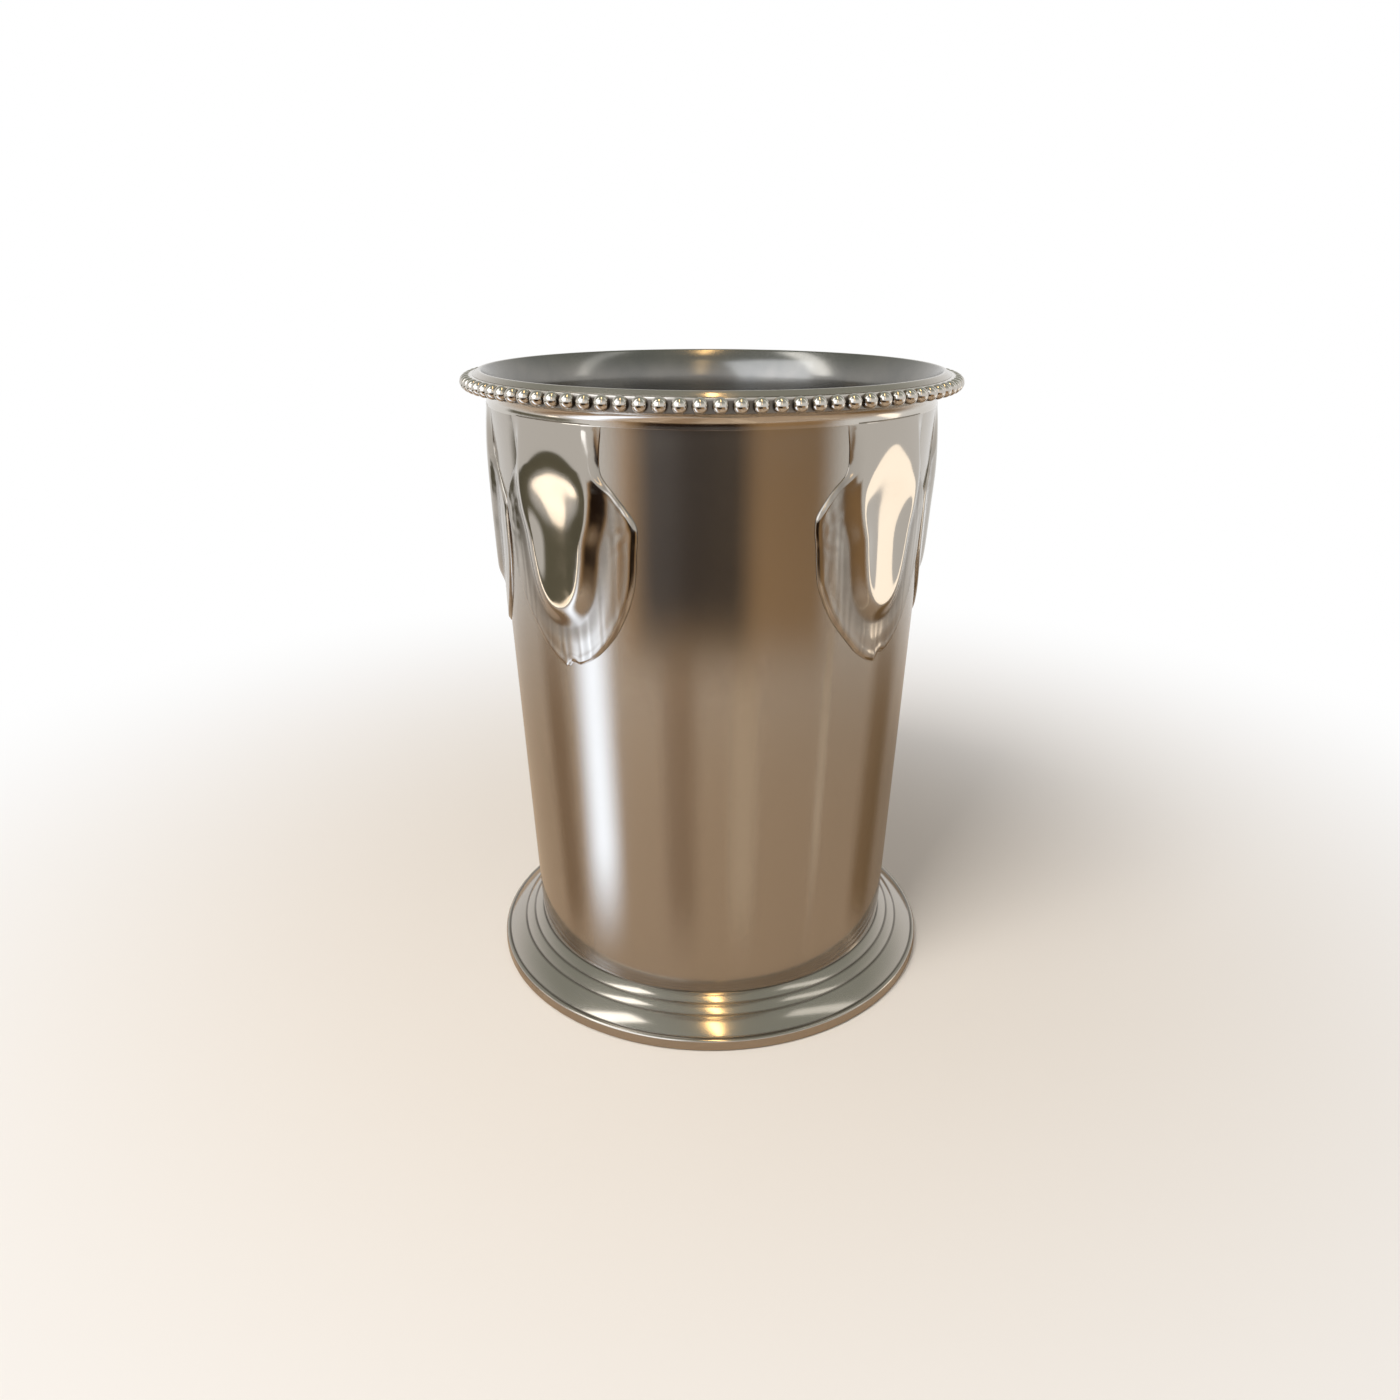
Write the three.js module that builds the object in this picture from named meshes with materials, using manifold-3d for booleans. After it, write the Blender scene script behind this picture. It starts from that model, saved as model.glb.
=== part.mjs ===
// A polished pewter cup of julep form. The body is spun from one sheet, with a flared lip. A rim moulding
// with a row of pearls is soldered round it under the lip, a stepped moulding makes the foot, and cast
// shells hang under the rim in two groups of three, with a plain panel at the front and the back.
// Millimetres, +Z up. The origin is the centre of the face that the cup rests on, and -Y is the front.

import * as THREE from 'three';
import { mergeVertices } from 'three/addons/utils/BufferGeometryUtils.js';
import Module from 'manifold-3d';

// Overall sizes
const CUP_HEIGHT = 111.0;
const RIM_DIAMETER = 88.9; // across the pearls
const BODY_BASE_DIAMETER = 66.6; // outside of the wall where it leaves the foot
const WALL = 1.2;
const FLOOR = 1.6;
const SOLDER_GAP = 0.3; // between a soldered piece and the body

// Rim
const RIM_OVERHANG = 4.6; // from the wall out to the pearls
const RIM_DEPTH = 5.7; // from the lip down to the end of the rim moulding
const LIP_SLOPE = 0.8; // fall of the lip from its inner to its outer edge
const FLARE_BEND = 3.0; // height over which the wall turns out towards the lip
const PEARL_DIAMETER = 2.5;
const PEARL_PITCH = 2.95;
const PEARL_DROP = 2.0; // from the lip down to the pearls' centres
const PEARL_SEAT = 0.2; // depth of the moulding's face behind the pearls' centres
const MOULDING_TIP = 0.4; // thickness of the moulding where it ends on the wall
const MOULDING_TOP = 0.45; // width of the moulding beside the lip

// Foot
const FOOT_HEIGHT = 6.2;
const FOOT_SPREAD = 7.4; // from the wall out to the foot's edge
const FOOT_BAND = 2.1; // height of the upright band that the cup stands on
const FOOT_STEP_WIDTH = 1.25; // each of the two narrow rings above the broad round one
const FOOT_STEP_RISE = 1.15;
const FOOT_GROOVE = 0.3;
const FOOT_EDGE_RADIUS = 0.4;
const FOOT_FLAT = 5.0; // from the foot's edge in to where the face that the cup rests on ends
const FLOOR_RECESS = 1.8; // underside of the body above the resting face
const FLOOR_CORNER = 3.5; // inside corner between wall and floor

// Shells
const SHELL_HEIGHT = 40.4;
const SHELL_FIRST = THREE.MathUtils.degToRad(42.7); // from the middle of the front to a group's first shell
const SHELL_STEP = Math.PI / 4; // from one shell to the next in a group of three
const SHELL_CLEARANCE = 0.4; // between the shoulders of two neighbours
const SHELL_EDGE = 0.45; // thickness at the outline
const SHELL_HOLLOW = 0.35; // least thickness, in the middle of the dish
const SHELL_RIDGE = 1.0; // thickness on the ridge round the dish
const SHELL_COLUMNS = 10;

// Half widths of the shell on each side, from the neck under the rim down to the tip, as shares of the
// half width at the shoulders
const SHELL_OUTLINE = [
  { down: 0.0, left: 0.67, right: 0.65 },
  { down: 0.11, left: 0.63, right: 0.61 },
  { down: 0.19, left: 0.67, right: 0.63 },
  { down: 0.26, left: 0.85, right: 0.79 },
  { down: 0.36, left: 1.0, right: 1.0 },
  { down: 0.48, left: 0.96, right: 0.98 },
  { down: 0.62, left: 0.92, right: 0.94 },
  { down: 0.75, left: 0.76, right: 0.82 },
  { down: 0.86, left: 0.53, right: 0.62 },
  { down: 0.95, left: 0.27, right: 0.34 },
  { down: 1.0, left: 0.1, right: 0.14 },
];
const DISH_HALF_WIDTH = 0.55; // the dish at its widest, as a share of the half width at the shoulders
const DISH_WIDEST = 0.25; // how far down that is
const DISH_END = 0.76; // how far down the dish ends
const DISH_FLAT = 0.2; // the level middle of the dish, as a share of the dish's half width
const RIDGE_WIDTH = 0.24; // of the ridge's outer side, as a share of the half width at the shoulders

// How finely round pieces are cut
const ROUND_STEPS = 64;
const CURVE_STEPS = 4;
const PEARL_DETAIL = 1;
const SAME_PLACE = 1e-4; // corners closer than this are one corner

const PEWTER = { color: 0xb9b4aa, metalness: 1.0, roughness: 0.16 };

const pearlRadius = PEARL_DIAMETER / 2;
const pearlCircle = RIM_DIAMETER / 2 - pearlRadius;
const bodyTopRadius = RIM_DIAMETER / 2 - RIM_OVERHANG;
const bodyBaseRadius = BODY_BASE_DIAMETER / 2;
const flareHeight = CUP_HEIGHT - RIM_DEPTH;
const mouldingFace = pearlCircle - PEARL_SEAT;
const lipRadius = mouldingFace - MOULDING_TOP - SOLDER_GAP;

// Outer radius of the straight wall at a height
function wallRadius(height) {
  const share = (height - FOOT_HEIGHT) / (flareHeight - FOOT_HEIGHT);
  return THREE.MathUtils.lerp(bodyBaseRadius, bodyTopRadius, share);
}

function point(radius, height) {
  return new THREE.Vector2(radius, height);
}

function arc(start, control, end) {
  return new THREE.QuadraticBezierCurve(start, control, end).getPoints(CURVE_STEPS);
}

// A lathe stands its profile on the Y axis, so it is tipped up to stand on Z
function turned(profile, steps) {
  return new THREE.LatheGeometry(profile, steps).rotateX(Math.PI / 2);
}

function pewterMesh(name, geometry) {
  const mesh = new THREE.Mesh(geometry, new THREE.MeshStandardMaterial(PEWTER));
  mesh.name = name;
  return mesh;
}

const wasm = await Module();
wasm.setup();

// Joins the corners that faces share, so that a surface is closed
function sewn(geometry) {
  geometry.deleteAttribute('normal');
  geometry.deleteAttribute('uv');
  return mergeVertices(geometry, SAME_PLACE);
}

function toSolid(geometry) {
  const merged = sewn(geometry);
  const mesh = new wasm.Mesh({
    numProp: 3,
    vertProperties: new Float32Array(merged.attributes.position.array),
    triVerts: new Uint32Array(merged.index.array),
  });
  return new wasm.Manifold(mesh);
}

function toGeometry(solid) {
  const mesh = solid.getMesh();
  const geometry = new THREE.BufferGeometry();
  geometry.setAttribute('position', new THREE.BufferAttribute(mesh.vertProperties, 3));
  geometry.setIndex(new THREE.BufferAttribute(mesh.triVerts, 1));
  geometry.computeVertexNormals();
  return geometry;
}

// The outside of the flare, from the straight wall up to the lip's outer edge
function flareCurve() {
  const start = point(bodyTopRadius, flareHeight);
  const bend = point(wallRadius(flareHeight + FLARE_BEND), flareHeight + FLARE_BEND);
  return arc(start, bend, point(lipRadius, CUP_HEIGHT - LIP_SLOPE));
}

function cupBody() {
  const outside = flareCurve();
  const inside = outside.map((p) => point(p.x - WALL, p.y));
  inside[inside.length - 1].y = CUP_HEIGHT;
  const floorTop = FLOOR_RECESS + FLOOR;
  const innerBase = wallRadius(floorTop) - WALL;
  const cornerTop = floorTop + FLOOR_CORNER;
  const innerCorner = arc(
    point(innerBase - FLOOR_CORNER, floorTop),
    point(innerBase, floorTop),
    point(wallRadius(cornerTop) - WALL, cornerTop),
  );
  const outerCorner = arc(
    point(wallRadius(FLOOR_RECESS) - FLOOR, FLOOR_RECESS),
    point(wallRadius(FLOOR_RECESS), FLOOR_RECESS),
    point(wallRadius(FLOOR_RECESS + FLOOR), FLOOR_RECESS + FLOOR),
  );
  const profile = [
    point(0, FLOOR_RECESS),
    ...outerCorner,
    ...outside,
    ...inside.reverse(),
    ...innerCorner.reverse(),
    point(0, floorTop),
  ];
  return pewterMesh('cup_body', turned(profile, ROUND_STEPS));
}

function beadedRim() {
  const seat = flareCurve().map((p) => point(p.x + SOLDER_GAP, p.y - SOLDER_GAP));
  const pearlHeight = CUP_HEIGHT - PEARL_DROP;
  const faceFoot = pearlHeight - pearlRadius;
  const tip = point(seat[0].x + MOULDING_TIP, seat[0].y);
  const cove = arc(tip, point(tip.x, faceFoot - MOULDING_TIP), point(mouldingFace, faceFoot));
  const faceTop = point(mouldingFace, seat[CURVE_STEPS].y);
  const profile = [seat[0], ...cove, faceTop, ...seat.slice(1).reverse(), seat[0]];
  const count = Math.round((2 * Math.PI * pearlCircle) / PEARL_PITCH);
  let rim = toSolid(turned(profile, count));
  for (let i = 0; i < count; i += 1) {
    const angle = (2 * Math.PI * (i + 0.5)) / count;
    const pearl = new THREE.OctahedronGeometry(pearlRadius, PEARL_DETAIL);
    pearl.rotateZ(angle);
    pearl.translate(pearlCircle * Math.cos(angle), pearlCircle * Math.sin(angle), pearlHeight);
    rim = rim.add(toSolid(pearl));
  }
  return pewterMesh('beaded_rim', toGeometry(rim));
}

function footRing() {
  const edge = bodyBaseRadius + FOOT_SPREAD;
  const boreTop = wallRadius(FOOT_HEIGHT) + SOLDER_GAP;
  const boreFoot = wallRadius(FLOOR_RECESS) + SOLDER_GAP;
  const upperStep = boreTop + FOOT_STEP_WIDTH;
  const lowerStep = upperStep + FOOT_STEP_WIDTH;
  const upperGroove = FOOT_HEIGHT - FOOT_STEP_RISE - FOOT_GROOVE;
  const lowerGroove = upperGroove - FOOT_STEP_RISE + FOOT_GROOVE;
  const bandEdge = edge - FOOT_EDGE_RADIUS;
  const ovoloFoot = point(bandEdge - FOOT_GROOVE, FOOT_BAND);
  const ovoloTop = point(lowerStep, lowerGroove);
  const profile = [
    point(edge - FOOT_FLAT, 0),
    point(bandEdge, 0),
    point(edge, FOOT_EDGE_RADIUS),
    point(edge, FOOT_BAND - FOOT_EDGE_RADIUS),
    point(bandEdge, FOOT_BAND),
    ...arc(ovoloFoot, point(ovoloFoot.x - FOOT_GROOVE, lowerGroove + 2 * FOOT_GROOVE), ovoloTop),
    point(lowerStep, lowerGroove + FOOT_STEP_RISE - FOOT_GROOVE),
    point(upperStep + FOOT_GROOVE, lowerGroove + FOOT_STEP_RISE),
    point(upperStep, upperGroove),
    point(upperStep, FOOT_HEIGHT - FOOT_GROOVE),
    point(upperStep - FOOT_GROOVE, FOOT_HEIGHT),
    point(boreTop, FOOT_HEIGHT),
    point(boreFoot, FLOOR_RECESS),
    point(edge - FOOT_FLAT, 0),
  ];
  return pewterMesh('foot_ring', turned(profile, ROUND_STEPS));
}

// Half width of the dish at a distance down the shell, as a share of the half width at the shoulders
function dishHalfWidth(down) {
  if (down < DISH_WIDEST) {
    return DISH_HALF_WIDTH;
  }
  const past = Math.min((down - DISH_WIDEST) / (DISH_END - DISH_WIDEST), 1);
  return DISH_HALF_WIDTH * Math.sqrt(1 - past * past);
}

// Thickness of a shell: thin in the dish, proud on the ridge round it, falling to the outline
function shellThickness(across, down) {
  const half = dishHalfWidth(down);
  const past = Math.max(down - DISH_END, 0);
  const outside = Math.hypot(Math.max(Math.abs(across) - half, 0), past);
  if (outside > 0) {
    const fall = THREE.MathUtils.smoothstep(outside, 0, RIDGE_WIDTH);
    return THREE.MathUtils.lerp(SHELL_RIDGE, SHELL_EDGE, fall);
  }
  const inside = half > 0 ? 1 - Math.abs(across) / half : 0;
  const ridgeFall = THREE.MathUtils.smoothstep(inside, 0, 1 - DISH_FLAT);
  return THREE.MathUtils.lerp(SHELL_RIDGE, SHELL_HOLLOW, ridgeFall);
}

// A shell is a box with a grid on its broad faces, drawn out to the outline and bent round the wall
function shell(name, azimuth) {
  const rows = SHELL_OUTLINE.length - 1;
  const geometry = new THREE.BoxGeometry(1, 1, 1, SHELL_COLUMNS, rows, 1);
  const position = geometry.attributes.position;
  const shellTop = flareHeight - 2 * SOLDER_GAP;
  const shoulder = SHELL_OUTLINE.find((row) => row.left === 1);
  const shoulderRadius = wallRadius(shellTop - SHELL_HEIGHT * shoulder.down);
  const halfAngle = SHELL_STEP / 2 - SHELL_CLEARANCE / 2 / shoulderRadius;
  for (let i = 0; i < position.count; i += 1) {
    const row = SHELL_OUTLINE[Math.round((0.5 - position.getY(i)) * rows)];
    const side = position.getX(i) * 2;
    const across = side * (side < 0 ? row.left : row.right);
    const height = shellTop - SHELL_HEIGHT * row.down;
    const lift = position.getZ(i) > 0 ? shellThickness(across, row.down) : 0;
    const radius = wallRadius(height) + SOLDER_GAP + lift;
    const angle = azimuth + across * halfAngle;
    position.setXYZ(i, radius * Math.sin(angle), -radius * Math.cos(angle), height);
  }
  const closed = sewn(geometry);
  closed.computeVertexNormals();
  return pewterMesh(name, closed);
}

const cup = new THREE.Group();
cup.add(cupBody(), beadedRim(), footRing());
const places = ['front', '', 'back'];
for (const [side, turn] of [['right', 1], ['left', -1]]) {
  places.forEach((place, i) => {
    const name = ['shell', side, place].filter(Boolean).join('_');
    cup.add(shell(name, turn * (SHELL_FIRST + SHELL_STEP * i)));
  });
}

export default cup;
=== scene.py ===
"""The looks of a polished pewter cup, modelled around its construction.

Sizes are written in millimetres and turned to metres as each mesh is made. Heights are above the face that
the cup rests on, radii are from its axis, and azimuths run from the front, which is -Y, towards +X.
"""
import logging
import math
from collections.abc import Callable, Sequence
from dataclasses import dataclass
from enum import Enum
from typing import Any, NamedTuple

import bmesh
import bpy
from bmesh.types import BMesh, BMVert
from mathutils import Matrix, Vector, noise
from mathutils.kdtree import KDTree


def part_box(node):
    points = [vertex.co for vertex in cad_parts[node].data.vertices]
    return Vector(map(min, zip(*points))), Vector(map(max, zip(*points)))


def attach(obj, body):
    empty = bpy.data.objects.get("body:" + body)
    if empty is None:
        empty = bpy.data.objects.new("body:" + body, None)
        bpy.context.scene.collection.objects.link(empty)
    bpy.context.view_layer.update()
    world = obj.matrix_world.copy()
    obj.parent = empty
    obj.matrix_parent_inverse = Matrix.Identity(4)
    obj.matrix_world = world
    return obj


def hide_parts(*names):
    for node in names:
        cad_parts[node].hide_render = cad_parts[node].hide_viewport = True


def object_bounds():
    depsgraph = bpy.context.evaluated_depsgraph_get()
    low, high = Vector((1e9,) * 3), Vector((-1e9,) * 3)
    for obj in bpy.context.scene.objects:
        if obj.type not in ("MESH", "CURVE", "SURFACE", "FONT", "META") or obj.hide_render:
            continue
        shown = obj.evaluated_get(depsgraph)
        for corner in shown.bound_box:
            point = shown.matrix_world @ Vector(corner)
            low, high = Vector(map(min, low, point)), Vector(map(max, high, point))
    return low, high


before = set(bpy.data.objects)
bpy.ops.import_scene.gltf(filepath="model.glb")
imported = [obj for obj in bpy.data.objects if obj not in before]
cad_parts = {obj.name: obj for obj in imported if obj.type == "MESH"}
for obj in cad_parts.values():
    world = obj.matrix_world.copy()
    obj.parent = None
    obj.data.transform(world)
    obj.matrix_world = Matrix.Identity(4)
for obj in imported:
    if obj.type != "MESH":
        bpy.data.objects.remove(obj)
CAD_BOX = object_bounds()

LOG = logging.getLogger("pewter_cup")
MM = 0.001
BODY_NAME = "root"
# Name of the attribute that holds how much shade is painted on each point.
PAINTED_SHADE = "recess"
COVER = "cover"
SAME_PLACE = 0.001  # vertices closer than this are one vertex, in millimetres
WHITE = (1.0, 1.0, 1.0, 1.0)


class Grain(Enum):
    """How the surface of a piece was made."""

    SPUN = "spun"
    CAST = "cast"


class Side(Enum):
    """The side of the cup that a shell hangs on, with the way its azimuth turns."""

    RIGHT = 1
    LEFT = -1


class Place(Enum):
    """A shell's place in its group of three, counted from the front."""

    FRONT = 0
    MIDDLE = 1
    BACK = 2


class LampShape(Enum):
    """The shape of a lamp's face, by Blender's name for it."""

    SQUARE = "RECTANGLE"
    ROUND = "ELLIPSE"


class Duty(Enum):
    """What a lamp is there for."""

    SET = "lights the floor"
    METAL = "shows in the metal"


class Corner(NamedTuple):
    """A corner of a half section, in millimetres.

    Attributes:
        radius: Distance from the axis.
        height: Height above the resting face.
        rounding: How far from the corner its rounding starts, or 0 for a sharp corner.
    """

    radius: float
    height: float
    rounding: float = 0.0


class OutlineRow(NamedTuple):
    """Half widths of a shell at a distance below its top, in millimetres."""

    down: float
    left: float
    right: float


class Knot(NamedTuple):
    """A point that a smooth curve runs through: a place along it and its value there."""

    place: float
    value: float


def to_linear(hex_color: str) -> tuple[float, float, float, float]:
    """Turn an sRGB hex colour into linear red, green, blue and alpha.

    Args:
        hex_color: Six hex digits after a hash sign.

    Returns:
        The linear colour, opaque.
    """
    channels = [int(hex_color[i:i + 2], 16) / 255 for i in (1, 3, 5)]
    linear = [c / 12.92 if c <= 0.04045 else ((c + 0.055) / 1.055) ** 2.4 for c in channels]
    return (linear[0], linear[1], linear[2], 1.0)


def smooth_step(value: float, start: float, end: float) -> float:
    """Ease from 0 where the value is at start to 1 where it is at end, which may be below start."""
    share = min(max((value - start) / (end - start), 0.0), 1.0)
    return share * share * (3 - 2 * share)


def smooth_curve(knots: Sequence[Knot], place: float) -> float:
    """Read a smooth curve through knots.

    Args:
        knots: The knots, in rising order of place.
        place: Where to read the curve.

    Returns:
        The curve's value there.
    """
    last = len(knots) - 1
    i = 0
    while i < last - 1 and knots[i + 1].place < place:
        i += 1
    here, there = knots[i], knots[i + 1]
    before, after = knots[max(i - 1, 0)], knots[min(i + 2, last)]
    span = there.place - here.place
    t = (place - here.place) / span
    leave = (there.value - before.value) / (there.place - before.place) * span
    meet = (after.value - here.value) / (after.place - here.place) * span
    ends = (2 * t**3 - 3 * t**2 + 1) * here.value + (3 * t**2 - 2 * t**3) * there.value
    return ends + (t**3 - 2 * t**2 + t) * leave + (t**3 - t**2) * meet


def nearest_finder(points: list[Vector]) -> KDTree:
    """Put points in a tree that finds the nearest of them.

    Args:
        points: The points.

    Returns:
        The tree.
    """
    tree = KDTree(len(points))
    for i, point in enumerate(points):
        tree.insert(point, i)
    tree.balance()
    return tree


def node_span(node: str) -> tuple[float, float, float]:
    """Return a node's outer radius, lowest height and highest height, in millimetres."""
    low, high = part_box(node)
    return high.x / MM, low.z / MM, high.z / MM


def add_node(tree: bpy.types.NodeTree, kind: str, inputs: dict[Any, Any] | None = None,
             **settings: Any) -> bpy.types.Node:
    """Add a shader node with its settings and links.

    Args:
        tree: The node tree that takes the node.
        kind: Blender's name for the kind of node.
        inputs: What each input socket gets: another node's output socket, or a value.
        settings: Properties of the node.

    Returns:
        The new node.
    """
    node = tree.nodes.new(kind)
    for name, value in settings.items():
        setattr(node, name, value)
    for socket, value in (inputs or {}).items():
        if isinstance(value, bpy.types.NodeSocket):
            tree.links.new(value, node.inputs[socket])
        else:
            node.inputs[socket].default_value = value
    return node


def blank_material(name: str) -> bpy.types.Material:
    """Make a material with an empty node tree."""
    material = bpy.data.materials.new(name)
    material.use_nodes = True
    material.node_tree.nodes.clear()
    return material


@dataclass(frozen=True)
class PewterFinish:
    """Pewter, a tin alloy, spun or cast and then polished.

    Polishing leaves a warm grey mirror. Spinning leaves very fine rings round the axis under it, a haze that
    draws highlights out along the wall. A darker colour is painted into the recesses as shade, and they are
    rougher.

    Attributes:
        name: Name of the material.
        grain: How the surface was made.
        metal: Colour of the polished metal.
        shade_color: Colour painted as shade in recesses.
        roughness: Roughness of the polished metal.
        polish_spread: How far that strays up or down over the surface, as a share.
        shaded_roughness: Roughness where the shade is painted.
        shade_least: Least share of its strength that the painted shade keeps, where the metal is smoothest.
        haze: Share of the light that the fine rings scatter, from 0 to 1.
        haze_roughness: Roughness of that haze.
        haze_stretch: How much the rings draw the haze out, from 0 to 1.
        haze_turn: Turn of the haze from along the rings to across them, where 1 is a full turn.
        wave: Size of the slow unevenness that bends reflections, in millimetres.
        wave_depth: Depth of that unevenness, in millimetres.
        wave_detail: Fineness of its noise.
        line: Spacing of the rings or of the polishing grain, in millimetres, drawn coarse enough to show.
        line_depth: Depth of that grain, in millimetres.
        line_detail: Fineness of its noise.
        cloud_detail: Fineness of the noise by which the polish and the strength of the painted shade stray.
        cloud_range: Values of that noise that count as its least and its most.
    """

    name: str
    grain: Grain
    metal: str = "#ADA69C"
    shade_color: str = "#575048"
    roughness: float = 0.13
    polish_spread: float = 0.15
    shaded_roughness: float = 0.34
    shade_least: float = 0.75
    haze: float = 0.0
    haze_roughness: float = 0.36
    haze_stretch: float = 0.95
    haze_turn: float = 0.25
    wave: float = 16.0
    wave_depth: float = 0.012
    wave_detail: float = 2.0
    line: float = 0.5
    line_depth: float = 0.0004
    line_detail: float = 3.0
    cloud_detail: float = 5.0
    cloud_range: tuple[float, float] = (0.3, 0.7)

    def make(self) -> bpy.types.Material:
        """Build the material.

        Returns:
            The new material.
        """
        material = blank_material(self.name)
        tree = material.node_tree
        place = add_node(tree, "ShaderNodeTexCoord").outputs["Object"]
        normal = self.relief(tree, place)
        cloud = add_node(tree, "ShaderNodeTexNoise", {
            "Vector": place,
            "Scale": 1 / (self.wave * MM / 2),
            "Detail": self.cloud_detail,
        }).outputs["Fac"]
        low, high = self.cloud_range
        clouds = {"Value": cloud, "From Min": low, "From Max": high}
        # Painted shade: a mark on each mesh darkens the colour towards the shade colour and roughens the
        # metal, with a noise that varies its strength.
        recess = add_node(tree, "ShaderNodeAttribute", attribute_name=PAINTED_SHADE).outputs["Fac"]
        shade_strength = add_node(tree, "ShaderNodeMapRange", {
            **clouds,
            "To Min": self.shade_least,
            "To Max": 1.0,
        }).outputs["Result"]
        dark = add_node(tree, "ShaderNodeMath", {0: recess, 1: shade_strength}, operation="MULTIPLY").outputs["Value"]
        colour = add_node(tree, "ShaderNodeMix", {
            "Factor": dark,
            "A": to_linear(self.metal),
            "B": to_linear(self.shade_color),
        }, data_type="RGBA").outputs["Result"]
        polish = add_node(tree, "ShaderNodeMapRange", {
            **clouds,
            "To Min": self.roughness * (1 - self.polish_spread),
            "To Max": self.roughness * (1 + self.polish_spread),
        }).outputs["Result"]
        rough = add_node(tree, "ShaderNodeMix", {
            "Factor": dark,
            "A": polish,
            "B": self.shaded_roughness,
        }, data_type="FLOAT").outputs["Result"]
        surface = add_node(tree, "ShaderNodeBsdfPrincipled", {
            "Base Color": colour,
            "Metallic": 1.0,
            "Roughness": rough,
            "Normal": normal,
        }).outputs["BSDF"]
        if self.haze > 0:
            surface = self.hazed(tree, surface, colour, normal)
        add_node(tree, "ShaderNodeOutputMaterial", {"Surface": surface})
        return material

    def relief(self, tree: bpy.types.NodeTree, place: bpy.types.NodeSocket) -> bpy.types.NodeSocket:
        """Add the slow unevenness and the fine grain.

        Args:
            tree: The material's node tree.
            place: Socket with the object coordinates.

        Returns:
            The socket with the bent normal.
        """
        wave = add_node(tree, "ShaderNodeTexNoise", {
            "Vector": place,
            "Scale": 1 / (self.wave * MM),
            "Detail": self.wave_detail,
        })
        fineness = {"Scale": 1 / (self.line * MM), "Detail": self.line_detail}
        if self.grain is Grain.SPUN:
            height = add_node(tree, "ShaderNodeSeparateXYZ", {"Vector": place}).outputs["Z"]
            lines = add_node(tree, "ShaderNodeTexNoise", {"W": height, **fineness}, noise_dimensions="1D")
        else:
            lines = add_node(tree, "ShaderNodeTexNoise", {"Vector": place, **fineness})
        waved = add_node(tree, "ShaderNodeBump", {
            "Height": wave.outputs["Fac"],
            "Strength": 1.0,
            "Distance": self.wave_depth * MM,
        })
        return add_node(tree, "ShaderNodeBump", {
            "Height": lines.outputs["Fac"],
            "Strength": 1.0,
            "Distance": self.line_depth * MM,
            "Normal": waved.outputs["Normal"],
        }).outputs["Normal"]

    def hazed(self, tree: bpy.types.NodeTree, mirror: bpy.types.NodeSocket, colour: bpy.types.NodeSocket,
              normal: bpy.types.NodeSocket) -> bpy.types.NodeSocket:
        """Lay the haze of the fine rings over the polished metal.

        Args:
            tree: The material's node tree.
            mirror: Socket with the polished metal's shader.
            colour: Socket with its colour.
            normal: Socket with its normal.

        Returns:
            The socket with the mixed shader.
        """
        round_axis = add_node(tree, "ShaderNodeTangent", direction_type="RADIAL", axis="Z")
        haze = add_node(tree, "ShaderNodeBsdfPrincipled", {
            "Base Color": colour,
            "Metallic": 1.0,
            "Roughness": self.haze_roughness,
            "Anisotropic": self.haze_stretch,
            "Anisotropic Rotation": self.haze_turn,
            "Normal": normal,
            "Tangent": round_axis.outputs["Tangent"],
        }).outputs["BSDF"]
        return add_node(tree, "ShaderNodeMixShader", {0: self.haze, 1: mirror, 2: haze}).outputs["Shader"]


def seen_ray(tree: bpy.types.NodeTree) -> bpy.types.NodeSocket:
    """Add nodes that tell a ray that shows a surface from one that only lights it.

    Args:
        tree: A shader's node tree.

    Returns:
        A socket that is 1 for camera, glossy and transmission rays, and 0 for the rest.
    """
    rays = add_node(tree, "ShaderNodeLightPath").outputs
    seen = rays["Is Camera Ray"]
    for kind in ("Is Glossy Ray", "Is Transmission Ray"):
        either = add_node(tree, "ShaderNodeMath", {0: seen, 1: rays[kind]}, operation="MAXIMUM")
        seen = either.outputs["Value"]
    return seen


@dataclass(frozen=True)
class MatteFinish:
    """Matt paper or felt of the studio, which shows no gloss.

    Attributes:
        name: Name of the material.
        color: Its colour.
        glow: Brightness of a sheet that shines, where 1 is white.
    """

    name: str
    color: str
    glow: float = 0.0

    def make(self) -> bpy.types.Material:
        """Build the material.

        Returns:
            The new material.
        """
        material = blank_material(self.name)
        tree = material.node_tree
        sheet = add_node(tree, "ShaderNodeBsdfPrincipled", {
            "Base Color": to_linear(self.color),
            "Roughness": 1.0,
            "Specular IOR Level": 0.0,
            "Emission Color": to_linear(self.color),
            "Emission Strength": self.glow,
        }).outputs["BSDF"]
        add_node(tree, "ShaderNodeOutputMaterial", {"Surface": self.faded(tree, sheet)})
        return material

    def faded(self, tree: bpy.types.NodeTree, sheet: bpy.types.NodeSocket) -> bpy.types.NodeSocket:
        """Return the sheet's shader as it is; a finish that fades out mixes it with another."""
        return sheet


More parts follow.
